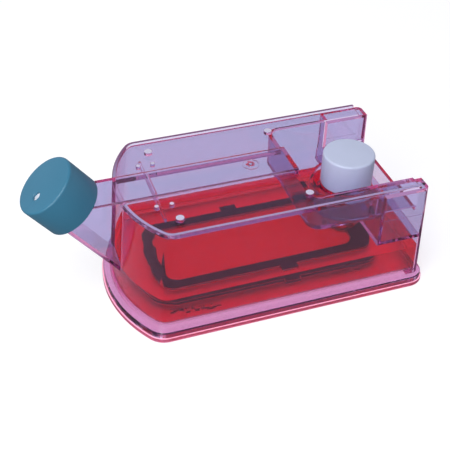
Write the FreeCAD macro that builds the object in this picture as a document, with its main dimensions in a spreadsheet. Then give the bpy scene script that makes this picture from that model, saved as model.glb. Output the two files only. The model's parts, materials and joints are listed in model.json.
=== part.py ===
import FreeCAD, Part
import math
import os
import re

import Sketcher
from FreeCAD import Vector

# Two-compartment membrane culture flask, one-litre class, as a parametric assembly.
#
# Millimetres, +Z up.  X runs along the flask, from the slanted neck (-X) to the port cap (+X);
# Y runs across it.  X = 0 is where the nose meets the side walls at the rim, Y = 0 is the middle
# and Z = 0 is the face that the flask rests on.

SIZES = (
    # housing shell
    ("body_length", 187.4, "straight side at the rim, from the nose corner to the end wall"),
    ("body_width", 112.0, "across the side walls at the rim"),
    ("rim_height", 87.3, "rest face to the top of the rim"),
    ("rim_step", 1.6, "rim above the roof"),
    ("rim_width", 2.6, "width of the raised rim"),
    ("wall", 2.6, "housing wall"),
    ("side_draft", 3.0, "how far each side wall leans out, rim to rest face"),
    ("end_draft", 2.6, "how far the end wall leans out, rim to rest face"),
    ("nose_lean", 8.8, "how far the nose corners lean out, rim to rest face"),
    ("nose_bulge_rim", 22.2, "rise of the nose arc over its corners, at the rim"),
    ("nose_bulge_base", 20.4, "rise of the nose arc over its corners, at the rest face"),
    ("end_corner", 4.0, "radius of the upright corners at the end wall"),
    ("nose_corner", 10.0, "radius of the upright corners at the nose"),
    ("edge_bevel", 0.8, "bevel of the rim and of the flange"),
    # flanges and floor
    ("flange_width", 5.2, "flange beyond the walls"),
    ("tray_flange", 3.4, "thickness of the tray's flange"),
    ("weld_flange", 4.4, "thickness of the housing's flange, on the tray's"),
    ("weld_step", 0.8, "how far the housing's flange stands in from the tray's"),
    ("flange_corner", 13.0, "radius of the flange corners at the end wall"),
    ("floor_height", 12.6, "rest face to the floor of the medium chamber"),
    ("floor_plate", 2.4, "thickness of that floor"),
    ("tray_wall", 2.2, "upright wall of the tray"),
    ("fit_gap", 0.3, "clearance between pieces that fit"),
    # roof channel and neck
    ("channel_width", 30.0, "across the raised roof channel and the neck"),
    ("channel_rise", 4.0, "channel above the roof"),
    ("neck_angle", 52.2, "slope of the neck's axis above level"),
    ("neck_reach", 51.8, "nose corner line to the middle of the neck's end, along X"),
    ("neck_drop", 7.2, "channel top down to the middle of the neck's end"),
    ("neck_depth", 12.2, "neck axis to the neck's underside"),
    ("neck_round", 1.6, "rounded edges of the channel and the neck"),
    ("finish_radius", 19.0, "outside of the round neck finish"),
    ("finish_length", 23.3, "round neck finish, along the axis"),
    ("finish_bore", 16.2, "radius of the neck's mouth"),
    ("splash_rib_place", 2.5, "straight rib under the roof, behind the nose corner line"),
    ("splash_rib_span", 68.0, "straight rib, across the flask"),
    ("splash_rib_depth", 3.0, "straight rib below the roof"),
    ("rib_thickness", 1.6, "straight rib, along the flask"),
    ("lip_depth", 3.0, "curved lip under the channel, in line with the nose wall"),
    # well for the port cap
    ("well_length", 81.6, "length of the well, back from the end wall at the rim"),
    ("well_width", 86.3, "across the well at the roof"),
    ("well_floor", 43.4, "rest face to the floor of the well"),
    ("well_corner", 8.0, "radius of the well's inner corners"),
    ("step_rise", 17.6, "low floor round the port to the well's upper floor"),
    ("step_beyond", 3.0, "port's axis to the step between the two floors"),
    ("cap_recess", 24.2, "radius of the recess round the port cap"),
    ("ear_length", 7.0, "end wall's ears, along X at the rim"),
    ("ear_drop", 1.7, "top of the ears below the roof"),
    ("shelf", 3.0, "thickness of the wings' top beyond the well's start"),
    ("parapet_rise", 12.4, "end wall between the ears, above the well's floor"),
    # small features on the roof
    ("peg_radius", 1.7, "stacking pegs behind the neck"),
    ("peg_rise", 2.6, "pegs above the roof"),
    ("peg_first", 0.0, "first row of pegs, along X"),
    ("peg_second", 10.5, "second row of pegs, along X"),
    ("peg_spread", 48.2, "across the pegs"),
    ("bump_radius", 3.0, "stacking bumps"),
    ("bump_rise", 2.2, "bumps above the roof"),
    ("bump_first", 11.5, "first pair of bumps, along X"),
    ("bump_inset", 2.4, "second pair of bumps, before the well"),
    ("bump_spread", 79.6, "across the bumps"),
    ("gate_place", 75.2, "moulding gate on the channel, along X"),
    ("gate_radius", 6.2, "witness ring round the gate"),
    ("gate_line", 0.7, "width of the witness ring"),
    ("gate_rise", 0.5, "witness ring above the channel"),
    # port in the well
    ("port_inset", 35.4, "port's axis, back from the end wall at the rim"),
    ("collar_rise", 12.0, "port's collar above the well's floor"),
    ("collar_wall", 5.4, "port's collar, out from the tube"),
    ("tube_radius", 15.2, "outside of the port tube"),
    ("tube_wall", 2.4, "wall of the port tube"),
    ("tube_seat", 3.0, "flange of the tube on the collar"),
    ("foot_bore", 8.0, "radius of the tube's mouth into the cell compartment"),
    ("foot_margin", 1.0, "tube's foot in from the edge of the gasket's port end"),
    ("foot_length", 9.0, "narrower foot of the tube, below its shoulder"),
    # vent cap and what it holds
    ("vent_thread_room", 1.35, "room for the thread between the neck and the vent cap"),
    ("vent_cap_top", 1.6, "end of the vent cap"),
    ("vent_cap_wall", 1.9, "side of the vent cap"),
    ("vent_cap_bevel", 1.1, "bevel of the vent cap's end edge"),
    ("vent_hole", 3.0, "radius of the vent hole"),
    ("vent_hole_up", 8.0, "vent hole below the cap's middle, in its face"),
    ("vent_hole_side", 4.1, "vent hole towards the near side"),
    ("filter_thickness", 2.1, "vent filter disc, with its sealing rim on the neck's mouth"),
    # port cap
    ("port_thread_room", 1.9, "room for the thread between the tube and the port cap"),
    ("port_cap_height", 24.8, "port cap, along its axis"),
    ("port_cap_clear", 0.9, "port cap's open end above the tube's flange"),
    ("port_cap_top", 2.0, "end of the port cap"),
    ("port_cap_wall", 2.0, "side of the port cap"),
    ("port_cap_bevel", 1.2, "bevel of the port cap's end edge"),
    ("liner_thickness", 1.5, "liner in the port cap"),
    # cell compartment
    ("stack_start", -2.6, "near end of the gasket frame and of the stack of sheets under it, along X"),
    ("stack_beyond", 17.0, "port's axis to the stack's far end, along X"),
    ("gasket_band", 8.2, "width of the gasket frame beside the window"),
    ("stack_bow", 5.0, "how far the stack's near end bows out"),
    ("stack_bow_end", 11.0, "how far the stack's far end bows out"),
    ("stack_corner", 9.0, "radius of the stack's corners"),
    ("window_start", 6.0, "near end of the membrane window, along X"),
    ("window_short", 2.0, "window's far end before the port's axis"),
    ("window_width", 53.6, "across the membrane window"),
    ("window_corner", 9.0, "radius of the window's corners"),
    ("gasket_rise", 2.8, "height of the dark gasket frame"),
    ("boss_radius", 13.0, "round port end of the gasket frame, over the window's end"),
    ("membrane_lap", 3.0, "membrane beyond the window"),
    ("membrane_thickness", 0.4, "dialysis membrane"),
    ("cell_depth", 5.0, "height of the cell compartment's frame"),
    ("gas_sheet", 0.6, "silicone gas membrane"),
    ("grid_thickness", 2.2, "support grid"),
    ("grid_rib", 1.6, "width of a rib of the grid"),
    ("grid_bays", 9, "bays across the grid"),
    ("lug_length", 12.6, "locating lugs of the gasket frame"),
    ("lug_width", 5.0, "lugs, across"),
    ("lug_offset", 10.6, "lugs, from the stack's middle along X"),
    # liquids
    ("liquid_level", 31.9, "rest face to the surface of the medium"),
    ("liquid_gap", 0.2, "clearance of the liquids' solids to the walls"),
)
NAMES = {name for name, _, _ in SIZES}

doc = FreeCAD.newDocument("culture_flask")
sheet = doc.addObject("Spreadsheet::Sheet", "sheet")
for row, (name, value, note) in enumerate(SIZES, start=1):
    sheet.set(f"A{row}", note)
    sheet.set(f"B{row}", str(value))
    sheet.setAlias(f"B{row}", name)
doc.recompute()

# Heights, places and radii that several pieces share, as expressions of the sheet's sizes
ROOF = "(rim_height - rim_step)"
CHANNEL_TOP = "(rim_height - rim_step + channel_rise)"
PLATE_UNDER = "(floor_height - floor_plate)"
NECK_FOOT = "(floor_height + 3*wall)"
GASKET_TOP = "(floor_height + membrane_thickness + gasket_rise)"
CELL_UNDER = f"({PLATE_UNDER} - cell_depth)"
SHEET_UNDER = f"({CELL_UNDER} - gas_sheet)"
UPPER_FLOOR = "(well_floor + step_rise)"
COLLAR_TOP = "(well_floor + collar_rise)"
PORT_CAP_BOTTOM = f"({COLLAR_TOP} + tube_seat + port_cap_clear)"
PORT_CAP_UNDER = f"({PORT_CAP_BOTTOM} + port_cap_height - port_cap_top)"
WELL_START = "(body_length - well_length)"
PORT_PLACE = "(body_length - port_inset)"
STEP_PLACE = f"({PORT_PLACE} + step_beyond)"
STACK_END = f"({PORT_PLACE} + stack_beyond)"
STACK_HALF = "(window_width/2 + gasket_band)"
WINDOW_END = f"({PORT_PLACE} - window_short)"
WINDOW_MIDDLE = f"((window_start + {WINDOW_END})/2)"
COLLAR_RADIUS = "(tube_radius + collar_wall)"
PORT_CAP_RADIUS = "(tube_radius + port_thread_room + port_cap_wall)"
VENT_CAP_RADIUS = "(finish_radius + vent_thread_room + vent_cap_wall)"
VENT_CAP_UNDER = "(finish_length + fit_gap + filter_thickness)"
VENT_CAP_LENGTH = f"({VENT_CAP_UNDER} + vent_cap_top)"


def cells(text):
    """Expression with each size name pointed at its cell."""
    return re.sub(r"[a-z][a-z_]*", lambda m: f"sheet.{m[0]}" if m[0] in NAMES else m[0], str(text))


def size(text):
    """What an expression comes to at the sheet's present values."""
    return float(sheet.evalExpression(cells(text)))


def bind(thing, **properties):
    """Bind properties of an object to expressions of the sheet's sizes."""
    for name, text in properties.items():
        thing.setExpression(name.replace("__", "."), cells(text))
    return thing


# ---------------------------------------------------------------- sketches

def new_body(label):
    body = doc.addObject("PartDesign::Body", label)
    body.Label = label
    return body


def new_sketch(body, name, plane="XY", level="0"):
    """Sketch on an origin plane of the body, raised to a level along the plane's normal."""
    sketch = body.newObject("Sketcher::SketchObject", name)
    base = [f for f in body.Origin.OriginFeatures if f.Role == f"{plane}_Plane"][0]
    sketch.AttachmentSupport = [(base, "")]
    sketch.MapMode = "FlatFace"
    bind(sketch, AttachmentOffset__Base__z=level)
    return sketch


def pin(sketch, kind, *where, to):
    """Add a dimension whose value is an expression."""
    index = sketch.addConstraint(Sketcher.Constraint(kind, *where, size(to)))
    sketch.setExpression(f"Constraints[{index}]", cells(to))


def pin_point(sketch, edge, end, across, up):
    pin(sketch, "DistanceX", -1, 1, edge, end, to=across)
    pin(sketch, "DistanceY", -1, 1, edge, end, to=up)


def polygon(sketch, corners):
    """Closed outline through corners given as pairs of expressions."""
    points = [Vector(size(x), size(y), 0) for x, y in corners]
    first = sketch.GeometryCount
    for start, end in zip(points, points[1:] + points[:1]):
        sketch.addGeometry(Part.LineSegment(start, end))
    for i in range(len(points)):
        following = first + (i + 1) % len(points)
        sketch.addConstraint(Sketcher.Constraint("Coincident", first + i, 2, following, 1))
    for i, (across, up) in enumerate(corners):
        pin_point(sketch, first + i, 1, across, up)
    return sketch


def rectangle(sketch, left, right, low, high):
    return polygon(sketch, [(left, low), (right, low), (right, high), (left, high)])


def circle(sketch, across, up, radius):
    middle = Vector(size(across), size(up), 0)
    index = sketch.addGeometry(Part.Circle(middle, Vector(0, 0, 1), size(radius)))
    pin(sketch, "Radius", index, to=radius)
    pin_point(sketch, index, 3, across, up)
    return sketch


def plan(sketch, level, inset="0", end=None, corner=None):
    """Plan of the flask at a level: two sides, the end and the nose arc, drawn in by an inset.

    The walls lean out downwards, so each size is taken part of the way from rim to rest face.
    The end's corners are square unless a radius is given; the nose's are always round.
    """
    fall = f"(1 - ({level})/rim_height)"
    half = f"(body_width/2 + side_draft*{fall})"
    bulge = f"(nose_bulge_rim + (nose_bulge_base - nose_bulge_rim)*{fall})"
    radius = f"(({half}^2 + {bulge}^2)/(2*{bulge}))"
    centre = f"({radius} - {bulge} - nose_lean*{fall})"
    half = f"({half} - ({inset}))"
    radius = f"({radius} - ({inset}))"
    turn_in = f"(nose_corner - ({inset}))"
    end = end or f"(body_length + end_draft*{fall} - ({inset}))"

    y, x1, reach, c, r = (size(t) for t in (half, end, radius, centre, turn_in))
    x0 = c - math.sqrt((reach - r)**2 - (y - r)**2)
    bend = math.atan2(y - r, x0 - c)
    last = three_sides(sketch, x0, end, half, corner)
    arc(sketch, x0, y - r, r, math.pi/2, bend)
    arc(sketch, c, 0, reach, bend, 2*math.pi - bend)
    arc(sketch, x0, r - y, r, 2*math.pi - bend, 3*math.pi/2)
    for i in range(last, last + 4):
        sketch.addConstraint(Sketcher.Constraint("Tangent", i, 2, (i + 1) % (last + 4), 1))
    for i in (last + 1, last + 3):
        pin(sketch, "Radius", i, to=turn_in)
    pin(sketch, "Radius", last + 2, to=radius)
    pin_point(sketch, last + 2, 3, centre, "0")
    return sketch


def arc(sketch, x, y, radius, start, end):
    ring = Part.Circle(Vector(x, y, 0), Vector(0, 0, 1), radius)
    return sketch.addGeometry(Part.ArcOfCircle(ring, start, end))


def three_sides(sketch, x0, end, half, corner):
    """Near side, end and far side, starting at the nose; gives the far side's number."""
    x1, y = size(end), size(half)
    r = size(corner) if corner else 0
    sketch.addGeometry(Part.LineSegment(Vector(x0, -y, 0), Vector(x1 - r, -y, 0)))
    if corner:
        arc(sketch, x1 - r, r - y, r, -math.pi/2, 0)
    side = sketch.addGeometry(Part.LineSegment(Vector(x1, r - y, 0), Vector(x1, y - r, 0)))
    if corner:
        arc(sketch, x1 - r, y - r, r, 0, math.pi/2)
    last = sketch.addGeometry(Part.LineSegment(Vector(x1 - r, y, 0), Vector(x0, y, 0)))
    for i in range(last):
        kind = "Tangent" if corner else "Coincident"
        sketch.addConstraint(Sketcher.Constraint(kind, i, 2, i + 1, 1))
    for i in (1, 3) if corner else ():
        pin(sketch, "Radius", i, to=corner)
    sketch.addConstraint(Sketcher.Constraint("Vertical", side))
    pin(sketch, "DistanceX", -1, 1, side, 1, to=end)
    for i, place in ((0, f"-{half}"), (last, half)):
        sketch.addConstraint(Sketcher.Constraint("Horizontal", i))
        pin(sketch, "DistanceY", -1, 1, i, 1, to=place)
    return last


# ---------------------------------------------------------------- features

def feature(body, kind, name, sketch, **properties):
    made = body.newObject(f"PartDesign::{kind}", name)
    made.Profile = sketch
    sketch.Visibility = False
    for key, value in properties.items():
        setattr(made, key, value)
    return made


def pad(body, name, sketch, length, **properties):
    return bind(feature(body, "Pad", name, sketch, **properties), Length=length)


def pocket(body, name, sketch, length, **properties):
    """Cut along the sketch's normal, downwards unless told otherwise."""
    return bind(feature(body, "Pocket", name, sketch, **properties), Length=length)


def loft(body, kind, name, low, high):
    made = feature(body, kind, name, low)
    made.Sections = [high]
    made.Ruled = True
    high.Visibility = False
    return made


def turn(body, name, sketch, cut=False, axis="V_Axis"):
    made = feature(body, "Groove" if cut else "Revolution", name, sketch)
    made.ReferenceAxis = (sketch, [axis])
    made.Angle = 360.0
    return made


def edges_where(shape, test):
    """Names of the edges whose middle point and direction pass a test."""
    names = []
    for i, edge in enumerate(shape.Edges, start=1):
        middle = edge.valueAt((edge.FirstParameter + edge.LastParameter)/2)
        along = edge.valueAt(edge.LastParameter) - edge.valueAt(edge.FirstParameter)
        if test(middle, along, edge):
            names.append(f"Edge{i}")
    return names


def dress_edges(body, kind, name, test, **properties):
    """Put a fillet or a chamfer on the edges of the body that pass a test."""
    doc.recompute()
    base = body.Tip
    made = body.newObject(f"PartDesign::{kind}", name)
    made.Base = (base, edges_where(base.Shape, test))
    bind(made, **properties)
    doc.recompute()
    return made


def round_edges(body, name, radius, test):
    return dress_edges(body, "Fillet", name, test, Radius=radius)


def bevel_edges(body, name, width, test):
    return dress_edges(body, "Chamfer", name, test, Size=width)


def upright(along):
    """True for an edge that runs mainly along Z."""
    return abs(along.z) > 4*(abs(along.x) + abs(along.y))


def near(value, text, slack=0.6):
    return abs(value - size(text)) < slack


# ---------------------------------------------------------------- neck axis

def on_neck(along, out):
    """Point of the XZ plane, along the neck's axis from its end and out from the axis."""
    x = f"(-neck_reach - ({along})*cos(neck_angle) + ({out})*sin(neck_angle))"
    z = f"({CHANNEL_TOP} - neck_drop + ({along})*sin(neck_angle) + ({out})*cos(neck_angle))"
    return x, z


def stand_on_neck(thing, along="0"):
    """Place a piece modelled about Z so that its Z runs up the neck's axis."""
    x, z = on_neck(along, "0")
    bind(thing, Placement__Base__x=x, Placement__Base__z=z, Placement__Rotation__Angle="neck_angle - 90")
    thing.Placement.Rotation.Axis = Vector(0, 1, 0)
    return thing


# ---------------------------------------------------------------- housing

def make_housing():
    """Clear moulding: leaning shell, roof channel, wedge neck, well, wings, ears and flange."""
    body = new_body("housing")
    foot = "tray_flange"
    low = plan(new_sketch(body, "shell_low", level=foot), foot, corner="end_corner")
    brow = "(rim_height - edge_bevel)"
    high = plan(new_sketch(body, "shell_high", level=brow), brow, corner="end_corner")
    loft(body, "AdditiveLoft", "shell", low, high)
    rim = plan(new_sketch(body, "rim_plan", level="rim_height"), "rim_height", "edge_bevel/2",
               corner="end_corner - edge_bevel/2")
    brow_again = plan(new_sketch(body, "brow_plan", level=brow), brow, corner="end_corner")
    loft(body, "AdditiveLoft", "rim", brow_again, rim)
    flange = plan(new_sketch(body, "flange_plan", level=foot), foot, "weld_step - flange_width",
                  corner="flange_corner - weld_step")
    pad(body, "flange", flange, "weld_flange")
    flange_top = "tray_flange + weld_flange"
    bevel_edges(body, "flange_edge", "edge_bevel",
                lambda m, a, e: near(m.z, flange_top, 0.1) and beyond_walls(m))

    recess = plan(new_sketch(body, "recess_plan", level="rim_height"), "rim_height", "rim_width",
                  end="body_length + 20")
    pocket(body, "roof_recess", recess, "rim_step")

    neck_and_channel(body)
    hollow(body)
    well(body)
    roof_marks(body)
    return body


def beyond_walls(point):
    """True on the flange's outer edge, half the flange or more out from the walls."""
    reach = "flange_width/2"
    return (abs(point.y) > size(f"body_width/2 + side_draft + {reach}")
            or point.x > size(f"body_length + end_draft + {reach}")
            or point.x < size(f"-nose_lean - nose_bulge_base - {reach}"))


def neck_and_channel(body):
    """Solid wedge neck that runs into the raised channel, and its round screw finish."""
    top_out = "(neck_drop/cos(neck_angle))"
    top_x, _ = on_neck("0", top_out)
    outline = [(WELL_START, CHANNEL_TOP), (top_x, CHANNEL_TOP), on_neck("0", "-neck_depth"),
               on_slope("neck_depth", NECK_FOOT), ("0", NECK_FOOT), ("0", f"{ROOF} - wall/2"),
               (WELL_START, f"{ROOF} - wall/2")]
    wedge = polygon(new_sketch(body, "wedge_side", "XZ"), outline)
    pad(body, "wedge", wedge, "channel_width", Midplane=True)
    round_edges(body, "neck_edges", "neck_round",
                lambda m, a, e: near(abs(m.y), "channel_width/2", 0.01)
                and e.Length > size("channel_width")
                and (near(m.z, CHANNEL_TOP, 0.01) or m.x < size("-nose_bulge_rim - nose_lean")))

    finish = polygon(new_sketch(body, "finish_side", "XZ"), [
        on_neck("-wall/2", "0"), on_neck("-wall/2", "neck_depth - wall"),
        on_neck("0", "finish_radius"), on_neck("finish_length", "finish_radius"),
        on_neck("finish_length", "0")])
    neck_axis_line(finish)
    turn(body, "finish", finish, axis="Axis0")


def on_slope(depth, level):
    """Point at a level on the line that runs below the neck's axis by a depth."""
    foot_x, foot_z = on_neck("0", f"-({depth})")
    return f"({foot_x} + ({foot_z} - {level})/tan(neck_angle))", level


def neck_axis_line(sketch):
    """Construction line along the neck's axis, to revolve about."""
    start, end = on_neck("0", "0"), on_neck("10", "0")
    ends = [Vector(size(x), size(z), 0) for x, z in (start, end)]
    line = sketch.addGeometry(Part.LineSegment(*ends), True)
    pin_point(sketch, line, 1, *start)
    pin_point(sketch, line, 2, *end)


def hollow(body):
    """Medium chamber: low all the way, taller under the well's upper floor, tallest before it."""
    low_top = "(well_floor - wall)"
    roof_under = f"({ROOF} - wall)"
    loft(body, "SubtractiveLoft", "low_chamber",
         plan(new_sketch(body, "low_from", level="tray_flange"), "tray_flange", "wall",
              corner="end_corner - wall"),
         plan(new_sketch(body, "low_to", level=low_top), low_top, "wall", corner="end_corner - wall"))
    tall_end = f"({WELL_START} - wall)"
    overlap = f"({low_top} - 1)"
    loft(body, "SubtractiveLoft", "tall_chamber",
         plan(new_sketch(body, "tall_from", level=overlap), overlap, "wall", end=tall_end),
         plan(new_sketch(body, "tall_to", level=roof_under), roof_under, "wall", end=tall_end))
    middle_top = f"({UPPER_FLOOR} - wall)"
    loft(body, "SubtractiveLoft", "middle_chamber",
         between_walls(new_sketch(body, "middle_from", level=overlap), overlap, f"{tall_end} - 1"),
         between_walls(new_sketch(body, "middle_to", level=middle_top), middle_top, f"{tall_end} - 1"))
    under = f"({middle_top} - 1)"
    for side, name in ((-1, "near"), (1, "far")):
        low, high = (beside_well(new_sketch(body, f"{name}_side_{end}", level=level), level, side)
                     for end, level in (("from", under), ("to", roof_under)))
        loft(body, "SubtractiveLoft", f"{name}_side_chamber", low, high)

    channel_under = f"({CHANNEL_TOP} - wall)"
    inner_depth = "(neck_depth - wall)"
    reach = "1.5"
    inner_top = f"((neck_drop - wall + {reach}*-sin(neck_angle))/cos(neck_angle))"
    passage = polygon(new_sketch(body, "passage_side", "XZ"), [
        (tall_end, channel_under), (on_neck(reach, inner_top)[0], channel_under),
        on_neck(reach, f"-{inner_depth}"), on_slope(inner_depth, NECK_FOOT),
        ("0", NECK_FOOT), ("0", f"{roof_under} - 1"), (tall_end, f"{roof_under} - 1")])
    pocket(body, "passage", passage, "channel_width - 2*wall", Midplane=True)

    bore = polygon(new_sketch(body, "bore_side", "XZ"), [
        on_neck("1", "0"), on_neck("1", f"{inner_depth}"), on_neck("finish_length/3", "finish_bore"),
        on_neck("finish_length + 1", "finish_bore"), on_neck("finish_length + 1", "0")])
    neck_axis_line(bore)
    turn(body, "bore", bore, cut=True, axis="Axis0")

    rib = rectangle(new_sketch(body, "splash_rib_face", "YZ", "splash_rib_place"), "-splash_rib_span/2",
                    "splash_rib_span/2", f"{roof_under} - splash_rib_depth", f"{roof_under} + wall/2")
    pad(body, "splash_rib", rib, "rib_thickness")
    crest = rectangle(new_sketch(body, "rib_crest_face", "YZ", "splash_rib_place"),
                      "-channel_width/2 + wall/2", "channel_width/2 - wall/2",
                      f"{roof_under} - 1", f"{channel_under} + wall/2")
    pad(body, "rib_crest", crest, "rib_thickness")
    lip = band_of_nose(new_sketch(body, "lip_plan", level=f"{channel_under} - lip_depth"))
    pad(body, "lip", lip, "lip_depth + wall/2")


def between_walls(sketch, level, start):
    """Chamber's plan at a level, from a place under the roof to the step in the well."""
    half = f"(body_width/2 + side_draft*(1 - ({level})/rim_height) - wall)"
    return rectangle(sketch, start, f"{STEP_PLACE} - wall", f"-{half}", half)


def beside_well(sketch, level, side):
    """Plan at a level of the headspace between the well and one side wall."""
    half = f"(body_width/2 + side_draft*(1 - ({level})/rim_height) - wall)"
    edges = sorted((f"{side}*(well_width/2 + wall)", f"{side}*{half}"), key=size)
    return rectangle(sketch, f"{WELL_START} - wall - 1", f"{STEP_PLACE} - wall", *edges)


def band_of_nose(sketch):
    """Piece of the nose wall's plan at the rim, as wide as the channel's inside."""
    radius = "((body_width^2/4 + nose_bulge_rim^2)/(2*nose_bulge_rim))"
    centre = f"({radius} - nose_bulge_rim)"
    half = "(channel_width/2 - wall/2)"
    c, y = size(centre), size(half)
    for reach in (radius, f"({radius} - wall)"):
        bend = math.asin(y/size(reach))
        edge = arc(sketch, c, 0, size(reach), math.pi - bend, math.pi + bend)
        pin_point(sketch, edge, 3, centre, "0")
        pin(sketch, "Radius", edge, to=reach)
        pin(sketch, "DistanceY", -1, 1, edge, 1, to=half)
        pin(sketch, "DistanceY", -1, 1, edge, 2, to=f"-{half}")
    for end in (1, 2):
        points = [sketch.getPoint(edge, end) for edge in (0, 1)]
        side = sketch.addGeometry(Part.LineSegment(*points))
        for edge in (0, 1):
            sketch.addConstraint(Sketcher.Constraint("Coincident", edge, end, side, edge + 1))
    return sketch


def well(body):
    """Open well in two levels round the port cap, wings over its low floor and ears at the end."""
    far = "(body_length + 20)"
    above = "(rim_height + 10)"
    half = "(well_width/2)"
    ear_top = f"({ROOF} - ear_drop)"
    fallen = f"(1 - {UPPER_FLOOR}/rim_height)"
    inner_half = f"(body_width/2 + side_draft*{fallen} - wall)"
    end_inner = f"(body_length + end_draft*{fallen} - wall)"

    recess_wall = circle(new_sketch(body, "recess_wall_plan", level="well_floor - wall"),
                         PORT_PLACE, "0", "cap_recess + wall")
    pad(body, "recess_wall", recess_wall, "step_rise + wall/2")
    upper = rectangle(new_sketch(body, "well_plan", level=above),
                      WELL_START, end_inner, f"-{half}", half)
    pocket(body, "well_upper", upper, f"{above} - {UPPER_FLOOR}")
    recess = circle(new_sketch(body, "cap_recess_plan", level=f"{UPPER_FLOOR} + 1"),
                    PORT_PLACE, "0", "cap_recess")
    pocket(body, "cap_recess", recess, "step_rise + 1")
    lower = rectangle(new_sketch(body, "well_low_plan", level=f"{UPPER_FLOOR} + 0.2"),
                      STEP_PLACE, end_inner, f"-{inner_half}", inner_half)
    pocket(body, "well_lower", lower, "step_rise + 0.2")

    shelf_under = f"({ear_top} - shelf)"
    skirt_out = f"({half} + wall)"
    wing_half = f"(body_width/2 + side_draft*(1 - {shelf_under}/rim_height) - wall)"
    for side, name in ((-1, "near"), (1, "far")):
        edges = sorted((f"{side}*{skirt_out}", f"{side}*{wing_half}"), key=size)
        wing = rectangle(new_sketch(body, f"{name}_wing_plan", level=shelf_under),
                         STEP_PLACE, end_inner, *edges)
        pocket(body, f"{name}_wing", wing, f"{shelf_under} - {UPPER_FLOOR}")

    gap = rectangle(new_sketch(body, "parapet_gap", level=above),
                    f"{end_inner} - 1", far, f"-{half}", half)
    pocket(body, "parapet", gap, f"{above} - well_floor - parapet_rise")
    ears = rectangle(new_sketch(body, "ear_plan", level=above), "body_length - ear_length", far,
                     "-body_width", "body_width")
    pocket(body, "ears", ears, f"{above} - {ear_top}")
    round_edges(body, "well_corners", "well_corner",
                lambda m, a, e: upright(a) and near(m.x, WELL_START) and near(abs(m.y), half)
                and m.z > size(UPPER_FLOOR))
    round_edges(body, "skirt_corners", "well_corner + wall",
                lambda m, a, e: upright(a) and near(m.x, f"{WELL_START} - wall")
                and near(abs(m.y), f"{half} + wall") and m.z > size(UPPER_FLOOR))

    collar = circle(new_sketch(body, "collar_plan", level="well_floor - wall/2"),
                    PORT_PLACE, "0", COLLAR_RADIUS)
    pad(body, "collar", collar, "collar_rise + wall/2")
    opening = circle(new_sketch(body, "port_plan", level=COLLAR_TOP),
                     PORT_PLACE, "0", "tube_radius + fit_gap")
    pocket(body, "port_opening", opening, "collar_rise + 2*wall")


def roof_marks(body):
    """Stacking pegs and bumps, and the witness ring of the moulding gate."""
    pegs = new_sketch(body, "peg_plan", level=ROOF)
    for row in ("peg_first", "peg_second"):
        for side in (-1, 1):
            circle(pegs, row, f"{side}*peg_spread/2", "peg_radius")
    pad(body, "pegs", pegs, "peg_rise")
    bumps = new_sketch(body, "bump_plan", level=ROOF)
    for row in ("bump_first", f"({WELL_START} - bump_inset)"):
        for side in (-1, 1):
            circle(bumps, row, f"{side}*bump_spread/2", "bump_radius")
    pad(body, "bumps", bumps, "bump_rise")
    ring = new_sketch(body, "gate_plan", level=CHANNEL_TOP)
    circle(ring, "gate_place", "0", "gate_radius")
    circle(ring, "gate_place", "0", "gate_radius - gate_line")
    pad(body, "gate_ring", ring, "gate_rise")
    nub = circle(new_sketch(body, "gate_nub_plan", level=CHANNEL_TOP),
                 "gate_place", "0", "gate_radius/4")
    pad(body, "gate_nub", nub, "2*gate_rise")


# ---------------------------------------------------------------- base tray

def window(sketch, grow="0"):
    """Rounded rectangle of the membrane window, grown all round."""
    left, right = f"(window_start - ({grow}))", f"({WINDOW_END} + ({grow}))"
    half = f"(window_width/2 + ({grow}))"
    return rounded_rectangle(sketch, left, right, half, f"(window_corner + ({grow}))")


def rounded_rectangle(sketch, left, right, half, radius):
    """Rectangle about the X axis with four tangent corner arcs."""
    x0, x1, y, r = (size(t) for t in (left, right, half, radius))
    first = sketch.GeometryCount
    sides = (((x0 + r, -y), (x1 - r, -y)), ((x1, -y + r), (x1, y - r)),
             ((x1 - r, y), (x0 + r, y)), ((x0, y - r), (x0, -y + r)))
    for start, end in sides:
        sketch.addGeometry(Part.LineSegment(Vector(*start, 0), Vector(*end, 0)))
    centres = ((x1 - r, -y + r, -1), (x1 - r, y - r, 0), (x0 + r, y - r, 1), (x0 + r, -y + r, 2))
    for x, middle, quarters in centres:
        arc(sketch, x, middle, r, quarters*math.pi/2, (quarters + 1)*math.pi/2)
    for i in range(4):
        corner = first + 4 + i
        sketch.addConstraint(Sketcher.Constraint("Tangent", first + i, 2, corner, 1))
        sketch.addConstraint(Sketcher.Constraint("Tangent", corner, 2, first + (i + 1) % 4, 1))
        pin(sketch, "Radius", corner, to=radius)
    pin(sketch, "DistanceY", -1, 1, first, 1, to=f"-{half}")
    pin(sketch, "DistanceX", -1, 1, first + 1, 1, to=right)
    pin(sketch, "DistanceY", -1, 1, first + 2, 1, to=half)
    pin(sketch, "DistanceX", -1, 1, first + 3, 1, to=left)
    return sketch


def make_base_tray():
    """Clear tray: flange under the housing's, upright wall inside the shell, floor with the window."""
    body = new_body("base_tray")
    flange = plan(new_sketch(body, "flange_plan"), "0", "-flange_width", corner="flange_corner")
    pad(body, "flange", flange, "tray_flange")
    fit = "(wall + fit_gap)"
    upstand = plan(new_sketch(body, "upstand_plan"), "floor_height", fit, corner="end_corner - wall")
    pad(body, "upstand", upstand, "floor_height")
    under = plan(new_sketch(body, "under_plan"), "floor_height", f"{fit} + tray_wall")
    pocket(body, "underside", under, PLATE_UNDER, Reversed=True)
    pocket(body, "window", window(new_sketch(body, "window_plan", level="floor_height")), "floor_plate")
    land = circle(new_sketch(body, "land_plan", level=PLATE_UNDER), PORT_PLACE, "0", "boss_radius")
    pad(body, "port_land", land, "floor_plate")
    hole = circle(new_sketch(body, "port_plan", level="floor_height"), PORT_PLACE, "0", "foot_bore")
    pocket(body, "port_hole", hole, "floor_plate")
    return body


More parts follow.
